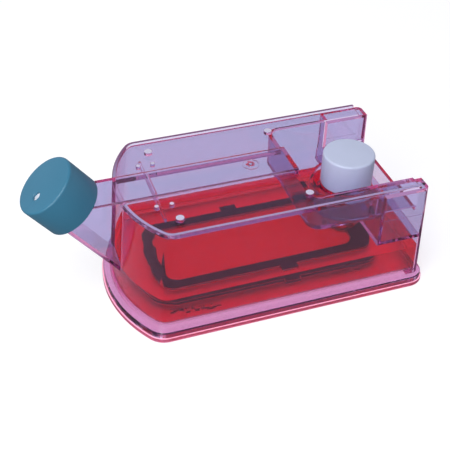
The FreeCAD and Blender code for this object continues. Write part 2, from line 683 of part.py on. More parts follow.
# ---------------------------------------------------------------- cell compartment

def bowed(sketch):
    """Outline of the clamped stack: straight sides, both ends bowed out."""
    left, right, half = "(stack_start + stack_bow)", f"({STACK_END} - stack_bow_end)", STACK_HALF
    x0, x1, y = (size(t) for t in (left, right, half))
    tips = (size("stack_start"), size(STACK_END))
    sketch.addGeometry(Part.LineSegment(Vector(x0, -y, 0), Vector(x1, -y, 0)))
    sketch.addGeometry(Part.Arc(Vector(x1, -y, 0), Vector(tips[1], 0, 0), Vector(x1, y, 0)))
    sketch.addGeometry(Part.LineSegment(Vector(x1, y, 0), Vector(x0, y, 0)))
    sketch.addGeometry(Part.Arc(Vector(x0, y, 0), Vector(tips[0], 0, 0), Vector(x0, -y, 0)))
    for i in range(4):
        sketch.addConstraint(Sketcher.Constraint("Coincident", i, 2, (i + 1) % 4, 1))
    pin_point(sketch, 0, 1, left, f"-{half}")
    pin_point(sketch, 0, 2, right, f"-{half}")
    pin_point(sketch, 2, 1, right, half)
    pin_point(sketch, 2, 2, left, half)
    for edge, bow in ((1, "stack_bow_end"), (3, "stack_bow")):
        pin(sketch, "Radius", edge, to=f"({half}^2 + {bow}^2)/(2*{bow})")
    return sketch


def stack_plate(label, level, thickness):
    """Plate of the clamped stack, with its corners rounded."""
    body = new_body(label)
    pad(body, f"{label}_plate", bowed(new_sketch(body, f"{label}_plan", level=level)), thickness)
    round_edges(body, f"{label}_corners", "stack_corner",
                lambda m, a, e: upright(a) and near(abs(m.y), STACK_HALF, 0.1))
    return body


def cut_window(body, level, depth):
    pocket(body, "window", window(new_sketch(body, "window_plan", level=level)), depth)


def disc(label, level, thickness, radius, x="0"):
    """Flat disc of one pad."""
    body = new_body(label)
    sketch = circle(new_sketch(body, f"{label}_plan", level=level), x, "0", radius)
    pad(body, f"{label}_pad", sketch, thickness)
    return body


def make_membrane_gasket():
    """Dark frame that clamps the membrane to the floor, with two lugs and a round port end."""
    level = "(floor_height + membrane_thickness)"
    body = stack_plate("membrane_gasket", level, "gasket_rise")
    cut_window(body, GASKET_TOP, "gasket_rise")
    boss = circle(new_sketch(body, "boss_plan", level=level), PORT_PLACE, "0", "boss_radius")
    pad(body, "boss", boss, "gasket_rise")
    hole = circle(new_sketch(body, "port_plan", level=GASKET_TOP), PORT_PLACE, "0", "foot_bore")
    pocket(body, "port_hole", hole, "gasket_rise")
    lugs = new_sketch(body, "lug_plan", level=level)
    for side in (-1, 1):
        middle = f"((stack_start + {STACK_END})/2 - {side}*lug_offset)"
        edges = sorted((f"{side}*({STACK_HALF} - 1)", f"{side}*({STACK_HALF} + lug_width)"), key=size)
        rectangle(lugs, f"({middle} - lug_length/2)", f"({middle} + lug_length/2)", *edges)
    pad(body, "lugs", lugs, "gasket_rise")
    return body


def make_dialysis_membrane():
    """Thin sheet over the window, with a round bite at the port."""
    body = new_body("dialysis_membrane")
    sketch = window(new_sketch(body, "sheet_plan", level="floor_height"), "membrane_lap")
    pad(body, "sheet", sketch, "membrane_thickness")
    bite = circle(new_sketch(body, "bite_plan", level="floor_height + membrane_thickness"),
                  PORT_PLACE, "0", "foot_bore + 1")
    pocket(body, "bite", bite, "membrane_thickness")
    return body


def make_cell_frame():
    """Spacer frame under the floor; its window runs on to the port."""
    body = stack_plate("cell_frame", CELL_UNDER, "cell_depth")
    cut_window(body, PLATE_UNDER, "cell_depth")
    port = circle(new_sketch(body, "port_plan", level=PLATE_UNDER), PORT_PLACE, "0", "foot_bore")
    pocket(body, "port", port, "cell_depth")
    return body


def make_gas_membrane():
    """Silicone sheet under the cells: oxygen passes, liquid doesn't."""
    return stack_plate("gas_membrane", SHEET_UNDER, "gas_sheet")


def make_support_grid():
    """Grid under the silicone sheet: long slots between ribs let air reach it."""
    body = stack_plate("support_grid", f"({SHEET_UNDER} - grid_thickness)", "grid_thickness")
    pitch = "(window_width/grid_bays)"
    edge = "(-window_width/2 + grid_rib/2)"
    ends = (("first", "window_start + grid_rib", f"({WINDOW_MIDDLE} - grid_rib)"),
            ("second", f"({WINDOW_MIDDLE} + grid_rib)", f"{WINDOW_END} - grid_rib"))
    for name, start, end in ends:
        sketch = rectangle(new_sketch(body, f"{name}_slot_plan", level=SHEET_UNDER),
                           start, end, edge, f"({edge} + {pitch} - grid_rib)")
        cut = pocket(body, f"{name}_slot", sketch, "grid_thickness")
        doc.recompute()
        row = body.newObject("PartDesign::LinearPattern", f"{name}_slots")
        row.Originals = [cut]
        row.Direction = (sketch, ["V_Axis"])
        bind(row, Length=f"window_width - {pitch}", Occurrences="grid_bays")
        body.Tip = row
    return body


def make_cell_suspension():
    """Thin liquid layer between the gas sheet and the dialysis membrane, clear of the port's land."""
    body = new_body("cell_suspension")
    sketch = window(new_sketch(body, "layer_plan", level=f"({CELL_UNDER} + liquid_gap)"), "-liquid_gap")
    pad(body, "layer", sketch, "cell_depth + floor_plate - 2*liquid_gap")
    land = circle(new_sketch(body, "land_plan", level="floor_height"), PORT_PLACE, "0",
                  "boss_radius + liquid_gap")
    pocket(body, "land", land, "floor_plate + liquid_gap")
    return body


# ---------------------------------------------------------------- port tube and caps

def make_port_tube():
    """Clear tube from the port cap down to the cell compartment, narrower at its foot."""
    body = new_body("port_tube")
    bore = "(tube_radius - tube_wall)"
    mouth = f"({PORT_CAP_UNDER} - liner_thickness - fit_gap)"
    flange = f"({COLLAR_RADIUS} - 2*edge_bevel)"
    foot = "(boss_radius - foot_margin)"
    step = f"({GASKET_TOP} + foot_length)"
    seat_top = f"({COLLAR_TOP} + tube_seat)"
    profile = polygon(new_sketch(body, "tube_side", "XZ"), [
        ("foot_bore", GASKET_TOP), (foot, GASKET_TOP), (foot, step), ("tube_radius", step),
        ("tube_radius", COLLAR_TOP), (flange, COLLAR_TOP), (flange, seat_top),
        ("tube_radius", seat_top), ("tube_radius", mouth), (bore, mouth),
        (bore, f"({step} + tube_wall)"), ("foot_bore", f"({step} + tube_wall)")])
    turn(body, "tube", profile)
    bind(body, Placement__Base__x=PORT_PLACE)
    return body


def make_tube_space():
    """The port tube filled solid up past the medium, to take out of the liquid."""
    body = new_body("tube_space")
    foot = "(boss_radius - foot_margin)"
    step = f"({GASKET_TOP} + foot_length)"
    profile = polygon(new_sketch(body, "space_side", "XZ"), [
        ("0", "floor_height"), ("foot_bore", "floor_height"), ("foot_bore", GASKET_TOP),
        (foot, GASKET_TOP), (foot, step), ("tube_radius", step), ("tube_radius", "liquid_level + 1"),
        ("0", "liquid_level + 1")])
    turn(body, "space", profile)
    return bind(body, Placement__Base__x=PORT_PLACE)


def make_cap(label, radius, height, top, wall, bevel):
    """Screw cap about Z, closed end up, open end at Z = 0."""
    body = new_body(label)
    profile = polygon(new_sketch(body, f"{label}_side", "XZ"), [
        (f"({radius} - {wall})", "0"), (radius, "0"), (radius, f"({height} - {bevel})"),
        (f"({radius} - {bevel})", height), ("0", height), ("0", f"({height} - {top})"),
        (f"({radius} - {wall})", f"({height} - {top})")])
    turn(body, f"{label}_shell", profile)
    return body


def make_vent_cap():
    body = make_cap("vent_cap", VENT_CAP_RADIUS, VENT_CAP_LENGTH, "vent_cap_top", "vent_cap_wall",
                    "vent_cap_bevel")
    hole = circle(new_sketch(body, "vent_plan", level=VENT_CAP_LENGTH),
                  "-vent_hole_up", "-vent_hole_side", "vent_hole")
    pocket(body, "vent", hole, "vent_cap_top")
    return stand_on_neck(body)


def make_vent_filter():
    body = disc("vent_filter", f"({VENT_CAP_UNDER} - filter_thickness)", "filter_thickness",
                f"{VENT_CAP_RADIUS} - vent_cap_wall - fit_gap")
    return stand_on_neck(body)


def make_port_cap():
    body = make_cap("port_cap", PORT_CAP_RADIUS, "port_cap_height", "port_cap_top", "port_cap_wall",
                    "port_cap_bevel")
    return bind(body, Placement__Base__x=PORT_PLACE, Placement__Base__z=PORT_CAP_BOTTOM)


def make_port_liner():
    return disc("port_cap_liner", f"{PORT_CAP_UNDER} - liner_thickness", "liner_thickness",
                f"{PORT_CAP_RADIUS} - port_cap_wall - fit_gap", PORT_PLACE)


# ---------------------------------------------------------------- medium

def make_medium(pieces):
    """Liquid of the medium chamber, less what stands in it."""
    body = new_body("medium_fill")
    inset = "(wall + liquid_gap)"
    low = plan(new_sketch(body, "fill_low", level="floor_height"), "floor_height", inset,
               corner="end_corner - wall")
    high = plan(new_sketch(body, "fill_high", level="liquid_level"), "liquid_level", inset,
                corner="end_corner - wall")
    loft(body, "AdditiveLoft", "fill", low, high)
    standing = doc.addObject("Part::MultiFuse", "standing_in_medium")
    standing.Shapes = pieces
    medium = doc.addObject("Part::Cut", "nutrient_medium")
    medium.Label = "nutrient_medium"
    medium.Base = body
    medium.Tool = standing
    return medium


def main():
    housing = make_housing()
    tray = make_base_tray()
    membrane_gasket = make_membrane_gasket()
    membrane = make_dialysis_membrane()
    tube = make_port_tube()
    parts = [
        housing, tray, membrane_gasket, membrane, tube, make_cell_frame(), make_gas_membrane(),
        make_support_grid(), make_cell_suspension(), make_vent_cap(), make_vent_filter(),
        make_port_cap(), make_port_liner(), make_medium([membrane_gasket, membrane, make_tube_space()]),
    ]
    doc.recompute()
    check_and_export(parts)


def check_and_export(parts):
    for thing in doc.Objects:
        if "Invalid" in thing.State or "Error" in thing.State:
            raise RuntimeError(f"{thing.Name} is {thing.State}")
    for part in parts:
        if part.Shape.isNull() or not part.Shape.isValid():
            raise RuntimeError(f"{part.Label} has no valid shape")
    os.makedirs("parts", exist_ok=True)
    for part in parts:
        part.Shape.exportStep(os.path.join("parts", f"{part.Label}.step"))
        box = part.Shape.BoundBox
        print(f"{part.Label:20s} {len(part.Shape.Solids)} solid, {part.Shape.Volume/1000:8.2f} cm3, "
              f"x {box.XMin:.1f}..{box.XMax:.1f}, y {box.YMin:.1f}..{box.YMax:.1f}, "
              f"z {box.ZMin:.1f}..{box.ZMax:.1f}")


main()
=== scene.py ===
"""Looks of the two-compartment culture flask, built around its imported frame."""

import json
import math

import bmesh
import bpy
from bpy.props import FloatProperty, FloatVectorProperty, PointerProperty
from mathutils import Matrix, Vector
from mathutils.bvhtree import BVHTree


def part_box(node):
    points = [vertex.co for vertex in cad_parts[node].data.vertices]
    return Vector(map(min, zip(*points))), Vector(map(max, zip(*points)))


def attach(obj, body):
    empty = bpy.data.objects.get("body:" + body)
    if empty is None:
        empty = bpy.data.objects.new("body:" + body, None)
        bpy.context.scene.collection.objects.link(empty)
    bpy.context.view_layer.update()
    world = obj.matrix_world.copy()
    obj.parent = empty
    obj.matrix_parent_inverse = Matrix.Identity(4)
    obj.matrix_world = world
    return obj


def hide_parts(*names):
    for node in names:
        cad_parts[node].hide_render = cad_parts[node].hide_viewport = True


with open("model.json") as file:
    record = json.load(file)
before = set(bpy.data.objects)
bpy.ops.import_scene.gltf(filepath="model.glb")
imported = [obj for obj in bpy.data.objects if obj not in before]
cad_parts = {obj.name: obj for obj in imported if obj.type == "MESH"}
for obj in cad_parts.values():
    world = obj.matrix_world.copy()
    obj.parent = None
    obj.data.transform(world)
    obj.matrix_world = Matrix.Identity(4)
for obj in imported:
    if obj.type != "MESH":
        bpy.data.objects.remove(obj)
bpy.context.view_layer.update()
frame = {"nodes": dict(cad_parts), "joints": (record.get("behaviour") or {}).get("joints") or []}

bl_info = {
    "name": "Culture flask",
    "version": (1, 0, 0),
    "blender": (4, 5, 0),
    "location": "View3D > Sidebar > Flask",
    "description": "Clear mouldings, caps, medium, gasket and light for the culture flask",
    "category": "Object",
}

MM = 0.001
VENT = next(j for j in frame["joints"] if j["name"] == "vent_cap_turn")
PORT = next(j for j in frame["joints"] if j["name"] == "port_cap_turn")
PLATE_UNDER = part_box("cell_frame")[1].z  # underside of the tray's floor plate, on the cell frame
FOOT_EDGE = 3.4 * MM  # height of the tray's foot flange
RIM_TOP, BUMP_TOP, PEG_TOP = 87.3 * MM, 87.9 * MM, 88.3 * MM  # heights above the rest face
CHANNEL_LOW = 88 * MM  # over the rim, and under the top of the housing's channel
LEVEL_SLACK = 0.1 * MM  # how near to a height a face has to lie to count as at it
POLYSTYRENE_IOR = 1.59
SHARP_ANGLE = 28.0  # degrees; an edge that turns more stays sharp


def linear(colour):
    """sRGB hex text to the scene's linear colour."""
    parts = [int(colour[i:i + 2], 16) / 255 for i in (1, 3, 5)]
    return tuple(c / 12.92 if c <= 0.04045 else ((c + 0.055) / 1.055) ** 2.4 for c in parts)


# ---------------------------------------------------------------- sizes and colours

class FlaskSizes(bpy.types.PropertyGroup):
    """Sizes that the frame leaves to the finish."""

    edge_softening: FloatProperty(
        name="Edge softening", description="Radius that the mould leaves on the clear pieces' edges",
        default=0.35 * MM, unit="LENGTH")
    gasket_softening: FloatProperty(
        name="Gasket softening", description="Radius on the rubber frame's edges",
        default=0.7 * MM, unit="LENGTH")
    cap_round: FloatProperty(
        name="Cap rounding", description="Radius between a cap's end and its side",
        default=1.6 * MM, unit="LENGTH")
    thread_pitch: FloatProperty(
        name="Thread pitch", description="Rise of the screw threads in one turn",
        default=4.0 * MM, unit="LENGTH")
    thread_height: FloatProperty(
        name="Thread height", description="How far the threads stand out of the necks",
        default=1.0 * MM, unit="LENGTH")
    meniscus: FloatProperty(
        name="Meniscus", description="How far the medium climbs the walls",
        default=0.9 * MM, unit="LENGTH")
    wetting: FloatProperty(
        name="Wetting", description="How far the liquids reach into the walls, to leave no film of air",
        default=0.06 * MM, unit="LENGTH")
    vent_radius: FloatProperty(
        name="Vent hole", description="Radius of the hole in the vent cap",
        default=3.0 * MM, unit="LENGTH")


class FlaskColours(bpy.types.PropertyGroup):
    """Colours of the flask's materials."""

    # The lavender tint is painted light: it stands in for the bluish backdrop light that the clear plastic
    # shows.
    polystyrene: FloatVectorProperty(
        name="Polystyrene", description="Tint of the clear mouldings", subtype="COLOR", size=3,
        default=linear("#D0D0E7"))
    # The tray's rosy tint is painted light: the red medium's light coming down into the clear tray.
    tray: FloatVectorProperty(
        name="Tray", description="Tint of the base tray, rosy from the medium above it", subtype="COLOR",
        size=3, default=linear("#FFBEDA"))
    inner: FloatVectorProperty(
        name="Inner mouldings", description="Tint of the plate, the grid and the tube, next to the medium",
        subtype="COLOR", size=3, default=linear("#FFEFF4"))
    medium: FloatVectorProperty(
        name="Medium", description="Colour of the medium in a thin layer", subtype="COLOR", size=3,
        default=linear("#FF3046"))
    vent_cap: FloatVectorProperty(
        name="Vent cap", description="Moulded colour of the vent cap", subtype="COLOR", size=3,
        default=linear("#36748F"))
    port_cap: FloatVectorProperty(
        name="Port cap", description="Moulded colour of the port cap", subtype="COLOR", size=3,
        default=linear("#BDC4DA"))
    rubber: FloatVectorProperty(
        name="Rubber", description="Colour of the gasket frame", subtype="COLOR", size=3,
        default=linear("#15143A"))


def sizes():
    return bpy.context.scene.flask_sizes


def colours():
    return bpy.context.scene.flask_colours


# ---------------------------------------------------------------- materials

def add_node(tree, kind, settings=None, **inputs):
    """Add a node, set its properties, and set or link its inputs by name, or by index as in _0.
    A colour Mix node takes its colours at _6 and _7 and gives the result at outputs[2]."""
    made = tree.nodes.new(kind)
    for name, value in (settings or {}).items():
        setattr(made, name, value)
    for name, value in inputs.items():
        socket = made.inputs[int(name[1:])] if name[1:].isdigit() else made.inputs[name.replace("_", " ")]
        if isinstance(value, bpy.types.NodeSocket):
            tree.links.new(value, socket)
        else:
            socket.default_value = value
    return made


def new_material(name):
    material = bpy.data.materials.new(name)
    material.use_nodes = True
    material.node_tree.nodes.clear()
    return material


def finish_material(material, surface, volume=None):
    tree = material.node_tree
    out = add_node(tree, "ShaderNodeOutputMaterial")
    tree.links.new(surface, out.inputs["Surface"])
    if volume:
        tree.links.new(volume, out.inputs["Volume"])
    return material


def ripple(tree, spacing, height, detail=2.0):
    """Soft unevenness, spacing apart and height deep: its pattern and its bumped normal."""
    place = add_node(tree, "ShaderNodeTexCoord").outputs["Object"]
    noise = add_node(tree, "ShaderNodeTexNoise", Vector=place, Scale=1 / spacing, Detail=detail)
    bump = add_node(tree, "ShaderNodeBump", Distance=height, Strength=1.0,
                    Height=noise.outputs["Fac"])
    return noise.outputs["Fac"], bump.outputs["Normal"]


def rgba(colour):
    return (*colour, 1.0)


def lets_lamps_through(tree, shader, tint):
    """Glass for the eye, tinted film for a lamp's shadow. The shadow meets a film at the front and
    one at the back, so the tint given is about the square root of the whole."""
    path = add_node(tree, "ShaderNodeLightPath").outputs
    film = add_node(tree, "ShaderNodeBsdfTransparent", Color=rgba(tint))
    return add_node(tree, "ShaderNodeMixShader", _0=path["Is Shadow Ray"], _1=shader.outputs[0],
                    _2=film.outputs[0])


def clear_polystyrene(name, tint, ground=None):
    """Crystal polystyrene, injection moulded: glossy and of high index. Its faint lavender tint, which
    gathers to purple where light runs along a wall, is painted light for the bluish backdrop light that
    the clear plastic shows. A part may have one level face, at the height ground, that is ground dull, and
    then the edge of its foot is dulled by the parting line too."""
    material = new_material(name)
    tree = material.node_tree
    _, normal = ripple(tree, spacing=9 * MM, height=0.012 * MM)
    polish, edge_dullness, face_slack = 0.02, 0.45, 0.25 * MM
    shader = add_node(tree, "ShaderNodeBsdfPrincipled", Base_Color=rgba(tint), Roughness=polish,
                      IOR=POLYSTYRENE_IOR, Transmission_Weight=1.0, Normal=normal)
    if ground:
        place = add_node(tree, "ShaderNodeTexCoord").outputs["Object"]
        height = add_node(tree, "ShaderNodeSeparateXYZ", Vector=place).outputs["Z"]
        on_face = add_node(tree, "ShaderNodeMath", {"operation": "COMPARE"}, _0=height, _1=ground,
                           _2=face_slack)
        on_edge = add_node(tree, "ShaderNodeMath", {"operation": "COMPARE"}, _0=height,
                           _1=FOOT_EDGE / 2, _2=FOOT_EDGE / 2 - LEVEL_SLACK)
        dulled = add_node(tree, "ShaderNodeMath", {"operation": "MULTIPLY_ADD"}, _0=on_edge.outputs[0],
                          _1=edge_dullness, _2=on_face.outputs[0])
        rough = add_node(tree, "ShaderNodeMapRange", Value=dulled.outputs[0], To_Min=polish, To_Max=1.0)
        tree.links.new(rough.outputs["Result"], shader.inputs["Roughness"])
    # painted light: the purple gathered along the walls stands in for the bluish backdrop light
    purple = (0.84, 0.48, 0.72, 1.0)
    volume = add_node(tree, "ShaderNodeVolumeAbsorption", Color=purple, Density=20.0)
    glass = lets_lamps_through(tree, shader, [c ** 0.5 * 0.95 for c in tint])
    return finish_material(material, glass.outputs[0], volume.outputs["Volume"])


def satin_land_painted_light(name, darker, lighter, deep=None):
    """Polystyrene where the mould's parting land dulls it: pale and milky, with little of it clear. The
    paleness is partly painted light, standing in for the light band on the lip and the pegs' highlights.
    The colour deep, if given, is painted shade; it takes over between the flask's middle and its far side."""
    material = new_material(name)
    tree = material.node_tree
    grain, normal = ripple(tree, spacing=1.2 * MM, height=0.02 * MM, detail=3.0)
    tint = add_node(tree, "ShaderNodeMix", {"data_type": "RGBA"}, Factor=grain,
                    _6=rgba(linear(darker)), _7=rgba(linear(lighter)))
    # painted shade: the land turns darker towards the flask's far side
    if deep:
        place = add_node(tree, "ShaderNodeTexCoord").outputs["Object"]
        across = add_node(tree, "ShaderNodeSeparateXYZ", Vector=place).outputs["Y"]
        far = add_node(tree, "ShaderNodeMapRange", Value=across, From_Min=10 * MM, From_Max=45 * MM)
        tint = add_node(tree, "ShaderNodeMix", {"data_type": "RGBA"}, Factor=far.outputs["Result"],
                        _6=tint.outputs[2], _7=rgba(linear(deep)))
    rough = add_node(tree, "ShaderNodeMapRange", Value=grain, To_Min=0.3, To_Max=0.5)
    shader = add_node(tree, "ShaderNodeBsdfPrincipled", Base_Color=tint.outputs[2], IOR=POLYSTYRENE_IOR,
                      Roughness=rough.outputs["Result"], Transmission_Weight=0.25, Normal=normal)
    return finish_material(material, shader.outputs["BSDF"])


def culture_medium(name, density, roughness):
    """Culture medium with phenol red: clear, water-like, deep crimson in depth; cells make it hazy."""
    material = new_material(name)
    tree = material.node_tree
    _, normal = ripple(tree, spacing=14 * MM, height=0.01 * MM, detail=0.0)
    tint = colours().medium
    shader = add_node(tree, "ShaderNodeBsdfPrincipled", Base_Color=rgba(tint), Roughness=roughness,
                      IOR=1.335, Transmission_Weight=0.98, Normal=normal)
    crimson = (0.99, 0.0, 0.25, 1.0)
    volume = add_node(tree, "ShaderNodeVolumeAbsorption", Color=crimson, Density=density)
    liquid = lets_lamps_through(tree, shader, [c ** 0.5 for c in tint])
    return finish_material(material, liquid.outputs[0], volume.outputs["Volume"])


def satin_polyethylene(name, colour, roughness):
    """Polyethylene, moulded in a lightly blasted tool: soft sheen and a fine grain."""
    material = new_material(name)
    tree = material.node_tree
    grain, normal = ripple(tree, spacing=0.6 * MM, height=0.02 * MM, detail=4.0)
    rough = add_node(tree, "ShaderNodeMapRange", Value=grain, To_Min=roughness - 0.05,
                     To_Max=roughness + 0.07)
    place = add_node(tree, "ShaderNodeTexCoord").outputs["Object"]
    cloud = add_node(tree, "ShaderNodeTexNoise", Vector=place, Scale=1 / (22 * MM), Detail=3.0)
    tint = add_node(tree, "ShaderNodeMix", {"data_type": "RGBA"}, Factor=cloud.outputs["Fac"],
                    _6=rgba([c * 0.93 for c in colour]), _7=rgba([min(1.0, c * 1.06) for c in colour]))
    shader = add_node(tree, "ShaderNodeBsdfPrincipled", Base_Color=tint.outputs[2], IOR=1.51,
                      Roughness=rough.outputs["Result"], Normal=normal)
    return finish_material(material, shader.outputs["BSDF"])


def dark_rubber():
    """Moulded elastomer under the medium: nearly black violet, with a cloudy bloom. Its sheen is
    faint, as its index is close to the medium's."""
    material = new_material("elastomer_moulded_dark")
    tree = material.node_tree
    grain, normal = ripple(tree, spacing=2.4 * MM, height=0.08 * MM, detail=4.0)
    colour = colours().rubber
    tint = add_node(tree, "ShaderNodeMix", {"data_type": "RGBA"}, Factor=grain,
                    _6=rgba([c * 0.2 for c in colour]), _7=rgba([c * 3.2 for c in colour]))
    rough = add_node(tree, "ShaderNodeMapRange", Value=grain, To_Min=0.35, To_Max=0.6)
    shader = add_node(tree, "ShaderNodeBsdfPrincipled", Base_Color=tint.outputs[2], IOR=1.14,
                      Roughness=rough.outputs["Result"], Normal=normal)
    return finish_material(material, shader.outputs["BSDF"])


def cell_clumps():
    """Clumped cells: dull, dark wine red, mottled."""
    material = new_material("cell_clumps_stained")
    tree = material.node_tree
    grain, normal = ripple(tree, spacing=0.4 * MM, height=0.05 * MM)
    tint = add_node(tree, "ShaderNodeMix", {"data_type": "RGBA"}, Factor=grain,
                    _6=rgba(linear("#120103")), _7=rgba(linear("#420509")))
    shader = add_node(tree, "ShaderNodeBsdfPrincipled", Base_Color=tint.outputs[2], IOR=1.36,
                      Roughness=0.7, Normal=normal)
    return finish_material(material, shader.outputs["BSDF"])


def dried_medium():
    """Medium dried in a mould mark: glossy crimson crumbs with darker grains."""
    material = new_material("culture_medium_dried")
    tree = material.node_tree
    grain, normal = ripple(tree, spacing=0.5 * MM, height=0.05 * MM)
    tint = add_node(tree, "ShaderNodeMix", {"data_type": "RGBA"}, Factor=grain,
                    _6=rgba(linear("#6A1030")), _7=rgba(linear("#E05A80")))
    shader = add_node(tree, "ShaderNodeBsdfPrincipled", Base_Color=tint.outputs[2], IOR=1.45,
                      Roughness=0.3, Normal=normal)
    return finish_material(material, shader.outputs["BSDF"])


def air_bubble():
    """Air in the medium: a small pale ball, mostly clear, with a bright edge."""
    material = new_material("air_in_medium")
    tree = material.node_tree
    _, normal = ripple(tree, spacing=0.5 * MM, height=0.004 * MM)
    shader = add_node(tree, "ShaderNodeBsdfPrincipled", Base_Color=rgba(linear("#FFD0D8")), IOR=1.2,
                      Roughness=0.05, Transmission_Weight=0.75, Normal=normal)
    return finish_material(material, shader.outputs["BSDF"])


def thin_sheet(name, colour, alpha, roughness):
    """Thin sheet, partly open to the light where alpha is under 1, with faint mottling."""
    material = new_material(name)
    tree = material.node_tree
    grain, normal = ripple(tree, spacing=3 * MM, height=0.03 * MM)
    clear = add_node(tree, "ShaderNodeMapRange", Value=grain, To_Min=alpha * 0.5,
                     To_Max=min(1.0, alpha * 1.5))
    shader = add_node(tree, "ShaderNodeBsdfPrincipled", Base_Color=rgba(colour), IOR=1.42,
                      Roughness=roughness, Alpha=clear.outputs["Result"], Normal=normal)
    return finish_material(material, shader.outputs["BSDF"])


# ---------------------------------------------------------------- mesh helpers

def mesh_of(bm, name):
    """The bmesh as a mesh; the bmesh is freed."""
    mesh = bpy.data.meshes.new(name)
    bm.to_mesh(mesh)
    bm.free()
    return mesh


def linked(name, data):
    """A new object with this data, in the scene."""
    made = bpy.data.objects.new(name, data)
    bpy.context.scene.collection.objects.link(made)
    return made


def keep(name, mesh, material, body, slot, *nodes):
    """Link a finished mesh as a piece of a body, in place of the frame's nodes."""
    piece = linked(name, mesh)
    mesh.materials.clear()
    mesh.materials.append(material)
    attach(piece, body)
    if nodes:
        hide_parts(*nodes)
    return piece


def merged(node):
    """The frame node's mesh as a closed bmesh of flat faces."""
    same_spot, flat = 0.002 * MM, math.radians(0.4)
    bm = bmesh.new()
    bm.from_mesh(frame["nodes"][node].data)
    bmesh.ops.remove_doubles(bm, verts=bm.verts, dist=same_spot)
    bmesh.ops.dissolve_limit(bm, angle_limit=flat, verts=bm.verts, edges=bm.edges)
    return bm


def smooth_by_angle(mesh, degrees=SHARP_ANGLE):
    """Smooth shading with the edges past an angle kept sharp."""
    bm = bmesh.new()
    bm.from_mesh(mesh)
    limit = math.radians(degrees)
    for face in bm.faces:
        face.smooth = True
    for edge in bm.edges:
        edge.smooth = edge.is_manifold and edge.calc_face_angle(0.0) < limit
    bm.to_mesh(mesh)
    bm.free()
    return mesh


def baked(mesh, modifiers):
    """The mesh with modifiers applied to it."""
    holder = linked("holder", mesh)
    for kind, settings in modifiers:
        modifier = holder.modifiers.new(kind.lower(), kind)
        for name, value in settings.items():
            setattr(modifier, name, value)
    bpy.context.view_layer.update()
    evaluated = holder.evaluated_get(bpy.context.evaluated_depsgraph_get())
    made = bpy.data.meshes.new_from_object(evaluated)
    bpy.data.objects.remove(holder)
    return made


def shaded(mesh, degrees):
    """Smooth shading, with the edges past an angle kept sharp, that leaves wide flat faces flat."""
    weighted = ("WEIGHTED_NORMAL", {"keep_sharp": True, "weight": 90})
    return baked(smooth_by_angle(mesh, degrees), [weighted])


def softened(node, radius, segments=2, clearance=0.02 * MM):
    """The frame node's mesh with its edges rounded, drawn in a little from what it touches."""
    made = baked(mesh_of(merged(node), f"{node}_mesh"), [
        ("DISPLACE", {"strength": -clearance, "mid_level": 0.0}),
        ("BEVEL", {"width": radius, "segments": segments, "limit_method": "ANGLE",
                   "angle_limit": math.radians(SHARP_ANGLE), "use_clamp_overlap": True,
                   "miter_outer": "MITER_SHARP"})])
    return shaded(made, degrees=40.0)


def upright(point, axis):
    """Matrix that stands local Z on an axis at a point."""
    turn = Vector((0, 0, 1)).rotation_difference(Vector(axis))
    return Matrix.Translation(Vector(point)) @ turn.to_matrix().to_4x4()


def reach(node, point, axis):
    """(radius, lowest, highest) of a frame node about an axis, from a point on it."""
    inverse = upright(point, axis).inverted()
    spots = [inverse @ v.co for v in frame["nodes"][node].data.vertices]
    return (max(math.hypot(p.x, p.y) for p in spots), min(p.z for p in spots), max(p.z for p in spots))


def lathe(profile, steps):
    """Mesh turned about Z from (radius, height) points, closed at the axis."""
    bm = bmesh.new()
    around = [2 * math.pi * i / steps for i in range(steps)]
    rings = []
    for radius, height in profile:
        turns = around if radius else [0.0]
        rings.append([bm.verts.new((radius * math.cos(a), radius * math.sin(a), height)) for a in turns])
    for below, above in zip(rings, rings[1:]):
        for i in range(steps):
            j = (i + 1) % steps
            corners = [below[i % len(below)], below[j % len(below)],
                       above[j % len(above)], above[i % len(above)]]
            bm.faces.new(list(dict.fromkeys(corners)))
    bmesh.ops.recalc_face_normals(bm, faces=bm.faces)
    return mesh_of(bm, "lathe")


def corner(radius, height, fillet, start, end, steps):
    """Points of a rounded corner whose arc's middle is at (radius, height); angles in degrees."""
    angles = [math.radians(start + (end - start) * i / steps) for i in range(steps + 1)]
    return [(radius + fillet * math.cos(a), height + fillet * math.sin(a)) for a in angles]


# ---------------------------------------------------------------- pieces

class FlaskStep:
    """What the flask's operators share."""

    bl_options = {"REGISTER", "UNDO"}

    def execute(self, context):
        self.make()
        return {"FINISHED"}


class OBJECT_OT_flask_mouldings(FlaskStep, bpy.types.Operator):
    """Housing, base tray, port tube and the sheets' frames in clear polystyrene"""

    bl_idname = "object.flask_mouldings"
    bl_label = "Clear mouldings"

    def make(self):
        plain = clear_polystyrene("crystal_polystyrene_moulded", colours().polystyrene)
        # the tray's rosy tint is painted light from the medium above it
        tray = clear_polystyrene("crystal_polystyrene_ground_below", colours().tray, PLATE_UNDER)
        inner = clear_polystyrene("crystal_polystyrene_inner", colours().inner)
        for node, clear in (("housing", plain), ("base_tray", tray), ("port_tube", inner),
                            ("cell_frame", inner), ("support_grid", inner)):
            mesh = softened(node, sizes().edge_softening)
            keep(f"{node}_clear", mesh, clear, "flask", "clear_polystyrene", node)


def is_level(face):
    return face.normal.z > 0.99


def level_faces(node, heights, inset, lift):
    """Flat mesh of a frame node's level faces at these heights, drawn in from their edges and lifted."""
    bm = merged(node)
    kept = {f for f in bm.faces if is_level(f)
            and any(abs(f.calc_center_median().z - h) < LEVEL_SLACK for h in heights)}
    bmesh.ops.delete(bm, geom=[f for f in bm.faces if f not in kept], context="FACES")
    edge = bmesh.ops.inset_region(bm, faces=bm.faces, thickness=inset, use_boundary=True,
                                  use_even_offset=True)
    bmesh.ops.delete(bm, geom=edge["faces"], context="FACES")
    bmesh.ops.translate(bm, verts=bm.verts, vec=(0, 0, lift))
    return mesh_of(bm, f"{node}_level")


